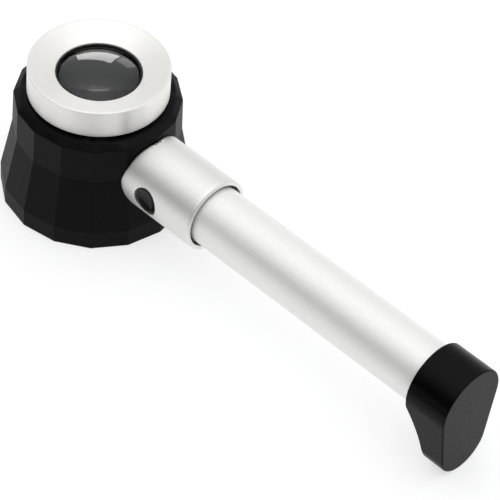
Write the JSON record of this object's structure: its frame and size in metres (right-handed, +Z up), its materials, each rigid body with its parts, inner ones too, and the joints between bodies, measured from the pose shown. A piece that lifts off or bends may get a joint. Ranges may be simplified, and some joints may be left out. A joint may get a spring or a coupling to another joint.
{
  "type": "illuminated viewing loupe",
  "caption": "Stand loupe with a faceted black cup, a focusing eyepiece, a push-button light, a round aluminium battery handle and an end cap that is also the foot.",
  "frame": {"origin": "centre of the cup's bottom face, on the table and on the optical axis", "axes": "+Z up along the optical axis, +X from the cup along the handle to the foot; the handle climbs 1.25 degrees towards the foot"},
  "size_m": [0.1768, 0.0572, 0.0466],
  "materials": {
    "black_polymer": "fine matt moulded black",
    "satin_aluminium": "satin anodised, bead blasted then turned",
    "black_aluminium": "black anodised",
    "optical_glass": "polished, coated",
    "black_cap": "semi-gloss black",
    "button_black": "dark grey rubber",
    "steel": "plain",
    "spring_steel": "nickel plated wire",
    "brass": "turned",
    "circuit_board": "solder mask",
    "lamp": "white lamp package",
    "frosted": "frosted acrylic",
    "seal_rubber": "seal",
    "core_plastic": "moulded",
    "liner_plastic": "thin wall sleeve",
    "cell_jacket": "plain jacket with no print",
    "wire_jacket": "insulated lead"
  },
  "bodies": {
    "base": {"base_skirt": "black_polymer", "base_ring": "black_polymer", "focus_barrel": "black_aluminium", "guide_pin": "steel", "led_board": "circuit_board", "barrel_screws": "steel", "leds": "lamp", "light_diffuser": "frosted", "handle_collar": "satin_aluminium", "switch_chassis": "core_plastic", "head_screws": "steel", "collar_set_screws": "steel", "button_spring": "spring_steel", "switch_body": "core_plastic", "switch_board": "circuit_board", "lead_wires": "wire_jacket", "front_contact": "brass", "ground_washer": "spring_steel", "handle_tube": "satin_aluminium", "battery_liner": "liner_plastic", "tube_oring": "seal_rubber", "cap_oring": "seal_rubber", "front_battery": "cell_jacket", "rear_battery": "cell_jacket"},
    "lens_carrier": {"lens_cell": "black_aluminium", "upper_lens": "optical_glass", "lens_spacer": "black_aluminium", "lower_lens": "optical_glass", "lens_retaining_ring": "black_aluminium"},
    "focus_ring": {"eyepiece_ring": "satin_aluminium", "damping_ring": "seal_rubber", "cell_retaining_ring": "black_aluminium"},
    "button": {"push_button": "button_black"},
    "cap_travel": {"cap_contact": "spring_steel", "battery_spring": "spring_steel"},
    "foot_cap": {"end_cap": "black_cap", "cap_insert": "brass"}
  },
  "joints": [
    {"name": "focus_travel", "type": "slide", "parent": "base", "child": "lens_carrier", "axis": [0, 0, 1], "range_m": [-0.0005, 0.003]},
    {"name": "focus_turn", "type": "hinge", "parent": "lens_carrier", "child": "focus_ring", "pos_m": [0, 0, 0.042], "axis": [0, 0, 1], "range_deg": [-30.5, 180.5]},
    {"name": "button_press", "type": "slide", "parent": "base", "child": "button", "axis": [0, 1, 0], "range_m": [0, 0.001], "stiffness_N_per_m": 1500, "springref_m": -0.001, "deforming": ["button_spring"]},
    {"name": "cap_unscrew", "type": "slide", "parent": "base", "child": "cap_travel", "axis": [0.9998, 0, 0.0218], "range_m": [0, 0.00525], "deforming": ["battery_spring"]},
    {"name": "cap_turn", "type": "hinge", "parent": "cap_travel", "child": "foot_cap", "pos_m": [0.13997, 0, 0.02505], "axis": [0.9998, 0, 0.0218], "range_deg": [0, 1260.5]}
  ],
  "couplings": [
    {"joint": "focus_turn", "follows": "focus_travel", "rad_per_m": 1047.2},
    {"joint": "cap_turn", "follows": "cap_unscrew", "rad_per_m": 4188.8}
  ]
}
